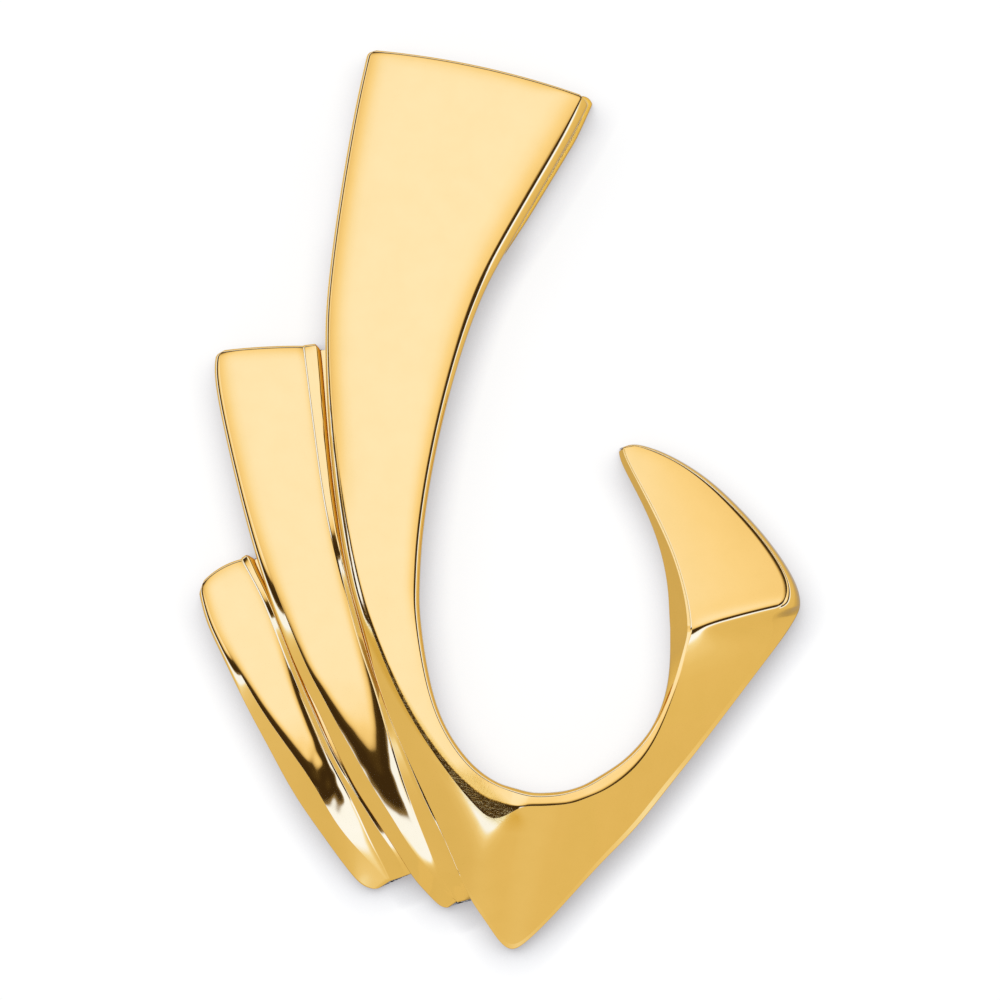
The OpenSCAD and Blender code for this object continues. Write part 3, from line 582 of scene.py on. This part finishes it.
def step_hollow(name, table, last):
    r = inside(table, last)
    inner, groove = r[:, 6:9], r[:, 9:12]
    along = (groove - inner)[:, :2] / length((groove - inner)[:, :2])
    past = column(groove[:, :2] + HOLLOW_REACH * along, groove[:, 2])
    chain = np.stack([r[:, 0:3], r[:, 3:6], inner, groove, past], axis=1)
    return hollow(name, chain, lambda n: SIDE_WALL, lambda n: n)


def prism(name, plan, low, high):
    n = len(plan)
    verts = [(x * MM, y * MM, z * MM) for z in (low, high) for x, y in plan]
    faces = [tuple(range(n))[::-1], tuple(range(n, 2 * n))]
    faces += [(i, (i + 1) % n, n + (i + 1) % n, n + i) for i in range(n)]
    mesh = bpy.data.meshes.new(name)
    mesh.from_pydata(verts, [], faces)
    return cast(name, mesh, satin)


def back_strap():
    """A plate whose front edge is filed round; it stands a little proud of the wall on the gap's side."""
    r = picked(faired(MAIN_ROWS), np.linspace(0, STRAP_LAST_ROW, STRAP_SAMPLES))
    outer, foot = r[:, 0:2], r[:, 8:10]
    left = outer + STRAP_INSET * (foot - outer) / length(foot - outer)
    turn = np.sin(np.linspace(CORNER_FROM, CORNER_TO, CORNER_SECTIONS))
    y = np.concatenate([np.linspace(STRAP_LOW, STRAP_TOP - STRAP_CORNER, STRAP_SECTIONS),
                        STRAP_TOP - STRAP_CORNER + turn * STRAP_CORNER])
    xl = np.interp(y, left[::-1, 1], left[::-1, 0])
    xr = np.interp(y, foot[::-1, 1], foot[::-1, 0]) + np.interp(y, STRAP_PROUD_AT, STRAP_PROUD)
    corner = quarter(STRAP_TOP - y, STRAP_CORNER)
    layers = []
    for below, back in STRAP_EDGE:
        plan = np.concatenate([np.stack([xl, y], axis=1)[::-1], np.stack([xr - back - corner, y], axis=1)])
        layers.append(column(plan, STRAP_T - below))
    n = len(layers[0])
    faces = [tuple(range(n))[::-1], tuple(range((len(layers) - 1) * n, len(layers) * n))]
    faces += [(k * n + i, k * n + (i + 1) % n, (k + 1) * n + (i + 1) % n, (k + 1) * n + i)
              for k in range(len(layers) - 1) for i in range(n)]
    mesh = bpy.data.meshes.new("back_strap")
    mesh.from_pydata([tuple(c * MM for c in v) for v in np.concatenate(layers)], [], faces)
    return cast("back_strap", mesh, satin)


def joined(target, other, how):
    """The casting after another solid is cast on to it or cut out of it."""
    for o in (target, other):
        if o.name not in bpy.context.scene.objects:
            bpy.context.scene.collection.objects.link(o)
    step = target.modifiers.new(how, "BOOLEAN")
    step.operation, step.object, step.solver = how, other, "MANIFOLD"
    bpy.context.view_layer.update()
    done = bpy.data.meshes.new_from_object(target.evaluated_get(bpy.context.evaluated_depsgraph_get()))
    target.modifiers.clear()
    old = target.data
    target.data = done
    bpy.data.meshes.remove(old)
    bpy.data.objects.remove(other)
    return target


slide = main_blade()
slide.name = "slide_casting"
joined(slide, step_blade("second_blade", SECOND_ROWS, *SECOND_WAVES), "UNION")
joined(slide, step_blade("third_blade", THIRD_ROWS, *THIRD_WAVES), "UNION")
joined(slide, main_hollow(), "DIFFERENCE")
joined(slide, step_hollow("second_hollow", SECOND_ROWS, SECOND_HOLLOW_END), "DIFFERENCE")
joined(slide, step_hollow("third_hollow", THIRD_ROWS, THIRD_HOLLOW_END), "DIFFERENCE")
joined(slide, back_strap(), "UNION")
mouth_low, mouth_top = STRAP_LOW + SOLDER_LAND, STRAP_TOP - TOP_LAND - SOLDER_LAND
mouth = [(MOUTH_LEFT, mouth_low), (MOUTH_RIGHT, mouth_low), (MOUTH_RIGHT, mouth_top), (MOUTH_LEFT, mouth_top)]
joined(slide, prism("passage", mouth, STRAP_T, PASSAGE_TOP), "DIFFERENCE")

# The casting fills the box of its solid
co = np.zeros(len(slide.data.vertices) * 3)
slide.data.vertices.foreach_get("co", co)
co = co.reshape(-1, 3)
box_low, box_high = (np.array(c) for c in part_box("slide_body"))
co = box_low + (co - co.min(0)) * (box_high - box_low) / (co.max(0) - co.min(0))
slide.data.vertices.foreach_set("co", co.ravel())
slide.data.update()

SHARP = radians(32)
slide.data.shade_smooth()
slide.data.set_sharp_from_angle(angle=SHARP)

# Polished gold
# Fourteen-carat yellow gold, buffed on a wheel to a mirror: hairlines and a faint haze are left in it.


class Value:
    """A shader socket that takes part in sums."""

    tree = None

    def __init__(self, socket):
        self.socket = socket

    @classmethod
    def node(cls, kind, settings=None, out=0, **inputs):
        n = cls.tree.nodes.new(kind)
        for name, value in (settings or {}).items():
            if name == "stops":
                ramp = n.color_ramp
                while len(ramp.elements) < len(value):
                    ramp.elements.new(0.5)
                for e, (place, colour) in zip(ramp.elements, value):
                    e.position, e.color = place, (*colour, 1)
            else:
                setattr(n, name, value)
        for name, value in inputs.items():
            by_number = name[0] == "i" and name[1:].isdigit()
            socket = n.inputs[int(name[1:]) if by_number else name.replace("_", " ")]
            if isinstance(value, Value):
                cls.tree.links.new(value.socket, socket)
            else:
                socket.default_value = value
        return cls(n.outputs[out])

    def sum(self, kind, other, swap=False):
        a, b = (other, self) if swap else (self, other)
        return Value.node("ShaderNodeMath", {"operation": kind}, i0=a, i1=b)

    def __add__(self, other):
        return self.sum("ADD", other)

    def __mul__(self, other):
        return self.sum("MULTIPLY", other)

    def __sub__(self, other):
        return self.sum("SUBTRACT", other)

    def __rsub__(self, other):
        return self.sum("SUBTRACT", other, swap=True)

    __radd__, __rmul__ = __add__, __mul__


gold.use_nodes = True
Value.tree = gold.node_tree
shader = gold.node_tree.nodes["Principled BSDF"]
shader.inputs["Metallic"].default_value = 1.0
GRAZING_TINT = (0.60, 0.56, 0.50, 1)
shader.inputs["Specular Tint"].default_value = GRAZING_TINT
place = Value.node("ShaderNodeTexCoord", out=3)
haze = Value.node("ShaderNodeTexNoise", Vector=place, Scale=900.0, Detail=3.0)
POLISHED = [(0.3, (0.738, 0.447, 0.098)), (0.7, (0.752, 0.457, 0.103))]
# Painted shade: the darker, browner gold given to the margin, standing in for the dark band reflected there
MARGIN_PAINTED_SHADE = (0.670, 0.375, 0.055, 1)
tone = Value.node("ShaderNodeValToRGB", {"stops": POLISHED}, Fac=haze)


def hairlines(turn, fine, run):
    """Sparse polishing scratches that run in one direction, this many to a metre across and along."""
    turned = Value.node("ShaderNodeMapping", {"vector_type": "TEXTURE"}, Vector=place,
                        Rotation=(0, 0, radians(turn)), Scale=(1 / fine, 1 / run, 1 / run))
    grain = Value.node("ShaderNodeTexNoise", Vector=turned, Scale=1.0, Detail=1.0)
    return Value.node("ShaderNodeValToRGB", {"stops": [(0.37, (1, 1, 1)), (0.47, (0, 0, 0))]}, Fac=grain)


def within(value, low, high, soft):
    """1 between two limits and 0 well outside them."""
    rise = Value.node("ShaderNodeMapRange", i0=value, i1=low - soft, i2=low + soft)
    drop = Value.node("ShaderNodeMapRange", i0=value, i1=high - soft, i2=high + soft, i3=1.0, i4=0.0)
    return rise * drop


# The rolled margin beside the main blade's crease was filed last and keeps the most scratches, as does the
# second blade's lip. The margin is also painted a darker, browner gold: painted shade of the dark band that
# it reflects. The margin follows a circle, and is narrow from its top to its turn and broad from there to its
# end.
MARGIN_CENTRE, MARGIN_RADIUS, MARGIN_HALF = (0.01661, 0.0026), 0.0249, 0.0002
MARGIN_TOP, MARGIN_TURN, MARGIN_END = -0.0060, -0.0135, -0.0163
BROAD_INNER, BROAD_OUTER, BROAD_LEFT, BROAD_RIGHT = 0.0241, 0.0253, -0.02, 0.0012
LIP_START, LIP_LEAN, LIP_HALF = (-0.0092, 0.0076), 0.135, 0.00032
LIP_FROM, LIP_TO = -0.004, 0.0074
x_of, y_of = (Value.node("ShaderNodeSeparateXYZ", out=axis, Vector=place) for axis in (0, 1))
centre_x, centre_y = x_of - MARGIN_CENTRE[0], y_of - MARGIN_CENTRE[1]
squared = centre_x * centre_x + centre_y * centre_y
from_centre = Value.node("ShaderNodeMath", {"operation": "SQRT"}, i0=squared)
narrow = within(from_centre, MARGIN_RADIUS - MARGIN_HALF, MARGIN_RADIUS + MARGIN_HALF, soft=0.0001)
narrow = narrow * within(y_of, MARGIN_TURN, MARGIN_TOP, soft=0.0006)
broad = within(from_centre, BROAD_INNER, BROAD_OUTER, soft=0.0002)
broad = broad * within(y_of, MARGIN_END, MARGIN_TURN, soft=0.0004)
margin = narrow + broad * within(x_of, BROAD_LEFT, BROAD_RIGHT, soft=0.0003)
lip_x = x_of - LIP_START[0] + LIP_LEAN * (y_of - LIP_START[1])
lip = within(lip_x, -LIP_HALF, LIP_HALF, soft=0.0001) * within(y_of, LIP_FROM, LIP_TO, soft=0.0005)
# Columns: direction in degrees, how many to a metre across and along. The lip's tool marks run along it.
SCRATCHES = [(20, 21000.0, 2600.0), (-38, 23000.0, 3000.0), (75, 20000.0, 2200.0)]
TOOL_MARKS = (7.7, 12000.0, 160.0)
FACE_MARKS, MARGIN_MARKS = 0.015, 0.55
first, second, third = (hairlines(*row) for row in SCRATCHES)
scratches, filed = first + second + third, hairlines(*TOOL_MARKS)
marks = scratches * (FACE_MARKS + MARGIN_MARKS * margin) + filed * lip
relief = Value.node("ShaderNodeBump", Height=marks, Strength=0.5, Distance=0.000003)
# Buffing by hand leaves the narrow lower ends a little wavy
wave = Value.node("ShaderNodeTexNoise", Vector=place, Scale=650.0, Detail=1.0)
LOW_END_FROM, LOW_END_TO = -0.03, -0.007
WAVY, WAVIER = 0.15, 0.85
low_end = within(y_of, LOW_END_FROM, LOW_END_TO, soft=0.002)
# Painted shade: the margin's base colour is mixed to the darker gold, where the crease's roll reflects a dark
# band
margin_shade_colour = Value.node("ShaderNodeMix", {"data_type": "RGBA"}, out=2, i0=margin, i6=tone, i7=MARGIN_PAINTED_SHADE)
gold.node_tree.links.new(margin_shade_colour.socket, shader.inputs["Base Color"])
MIRROR, HAZE, FILED = 0.045, 0.025, 0.08
rough = MIRROR + HAZE * haze + FILED * margin
gold.node_tree.links.new(rough.socket, shader.inputs["Roughness"])
waviness = wave * (WAVY + WAVIER * low_end)
uneven = Value.node("ShaderNodeBump", Height=waviness, Strength=1.0, Distance=0.000009, Normal=relief)
gold.node_tree.links.new(uneven.socket, shader.inputs["Normal"])

# Satin gold
# The back keeps the soft skin that it has from casting and pickling: fine grained, no mirror, paler than
# the front.
satin.use_nodes = True
Value.tree = satin.node_tree
skin = satin.node_tree.nodes["Principled BSDF"]
skin.inputs["Metallic"].default_value = 1.0
skin.inputs["Specular Tint"].default_value = GRAZING_TINT
place = Value.node("ShaderNodeTexCoord", out=3)
mottle = Value.node("ShaderNodeTexNoise", Vector=place, Scale=1500.0, Detail=4.0)
grain = Value.node("ShaderNodeTexNoise", Vector=place, Scale=22000.0, Detail=2.0)
AS_CAST = [(0.3, (0.800, 0.480, 0.078)), (0.7, (0.870, 0.530, 0.092))]
tone = Value.node("ShaderNodeValToRGB", {"stops": AS_CAST}, Fac=mottle)
satin.node_tree.links.new(tone.socket, skin.inputs["Base Color"])
SATIN, MOTTLED = 0.26, 0.12
rough = SATIN + MOTTLED * mottle
satin.node_tree.links.new(rough.socket, skin.inputs["Roughness"])
pitted = Value.node("ShaderNodeBump", Height=grain + 2 * mottle, Strength=0.5, Distance=0.000002)
satin.node_tree.links.new(pitted.socket, skin.inputs["Normal"])

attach(slide, "root")
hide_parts("slide_body")

# Studio
# A plain white table under a round light tent. The tent is bright overhead, has a dark ring about the lens
# and a bright ring beyond it, and warm even sides: this is what polished gold shows in its faces, creases
# and bevels.
FLOOR_HALF = 0.6
floor_mesh = bpy.data.meshes.new("floor")
floor_mesh.from_pydata([(-FLOOR_HALF, -FLOOR_HALF, 0), (FLOOR_HALF, -FLOOR_HALF, 0),
                        (FLOOR_HALF, FLOOR_HALF, 0), (-FLOOR_HALF, FLOOR_HALF, 0)], [], [(0, 1, 2, 3)])
floor = bpy.data.objects.new("floor", floor_mesh)
bpy.context.scene.collection.objects.link(floor)
paper = bpy.data.materials.new("white_table")
paper.use_nodes = True
paper_shader = paper.node_tree.nodes["Principled BSDF"]
paper_shader.inputs["Base Color"].default_value = (0.2, 0.2, 0.2, 1)
paper_shader.inputs["Roughness"].default_value = 0.9
paper_shader.inputs["Specular IOR Level"].default_value = 0.0
paper_shader.inputs["Emission Strength"].default_value = 0.84
# Painted shadow: the table's glow darkens softly beside the pendant, on the side away from the window
Value.tree = paper.node_tree
SHADOW_REACH = 0.0016
SHADOW = [(0.30, (0.38, 0.38, 0.41)), (0.55, (0.62, 0.62, 0.64)), (0.78, (0.86, 0.86, 0.88)),
          (0.93, (0.96, 0.96, 0.965)), (1.0, (1, 1, 1))]
towards_window = Value.node("ShaderNodeCombineXYZ", X=-0.14, Y=0.80, Z=0.58)
close = Value.node("ShaderNodeAmbientOcclusion", {"samples": 12}, out=1, Distance=SHADOW_REACH,
                   Normal=towards_window)
shade = Value.node("ShaderNodeValToRGB", {"stops": SHADOW}, Fac=close)
paper.node_tree.links.new(shade.socket, paper_shader.inputs["Emission Color"])
floor_mesh.materials.append(paper)

world = bpy.data.worlds.new("tent")
bpy.context.scene.world = world
world.use_nodes = True
Value.tree = world.node_tree
# Colour of the tent by its angle from straight overhead, in degrees
TENT = [
    (0, (1.36, 1.75, 4.25)), (7, (1.36, 1.73, 4.1)), (11, (1.34, 1.64, 3.5)), (15, (1.31, 1.44, 2.25)),
    (18, (1.20, 1.25, 1.65)), (20.5, (0.78, 0.74, 0.80)), (22.5, (0.10, 0.08, 0.06)),
    (28, (0.06, 0.045, 0.04)), (35, (0.06, 0.045, 0.04)), (38, (0.35, 0.33, 0.35)),
    (39.5, (1.32, 2.05, 7.8)), (48, (1.32, 2.05, 7.8)), (51, (1.24, 1.55, 3.0)),
    (54.5, (1.14, 1.24, 1.7)), (60, (1.05, 1.09, 1.22)), (68, (1.01, 1.02, 1.05)),
    (80, (0.99, 1.00, 1.00)), (180, (0.99, 1.00, 1.00)),
]
ray = Value.node("ShaderNodeTexCoord", out=0)
up = Value.node("ShaderNodeSeparateXYZ", out=2, Vector=ray)
angle = Value.node("ShaderNodeMath", {"operation": "ARCCOSINE"}, i0=up)
tent = Value.node("ShaderNodeValToRGB", {"stops": [(a / 180, c) for a, c in TENT]}, Fac=angle * (1 / pi))
across = Value.node("ShaderNodeSeparateXYZ", out=0, Vector=ray)
tent = Value.node("ShaderNodeVectorMath", {"operation": "SCALE"}, i0=tent, Scale=1.0 + 0.04 * across)
glossy = Value.node("ShaderNodeLightPath", out=3)
EVEN_LIGHT = (0.62, 0.64, 0.68, 1)
even = Value.node("ShaderNodeMix", {"data_type": "RGBA"}, out=2, i0=glossy, i6=EVEN_LIGHT, i7=tent)
back = world.node_tree.nodes["Background"]
world.node_tree.links.new(even.socket, back.inputs["Color"])
back.inputs["Strength"].default_value = 1.0

lamp = bpy.data.lights.new("window", "SUN")
lamp.energy, lamp.angle = 1.0, radians(40)
window = bpy.data.objects.new("window", lamp)
bpy.context.scene.collection.objects.link(window)
window.rotation_euler = (radians(-14), radians(-16), 0)
window.visible_glossy = False

# High above the table with a long lens: the photo shows almost no perspective. FRAME_W is what the picture
# takes in at the height of the pendant's face.
FRAME_W = 0.05006
CAMERA_UP, FACE_UP = 2.0, 0.004
SENSOR = 36.0
camera = bpy.data.objects.new("camera", bpy.data.cameras.new("camera"))
bpy.context.scene.collection.objects.link(camera)
camera.location = (0, 0, CAMERA_UP)
camera.data.sensor_width = SENSOR
camera.data.lens = SENSOR * (CAMERA_UP - FACE_UP) / FRAME_W
camera.data.clip_start, camera.data.clip_end = 0.01, 10.0
bpy.context.scene.camera = camera
bpy.context.scene.view_settings.view_transform = "Standard"
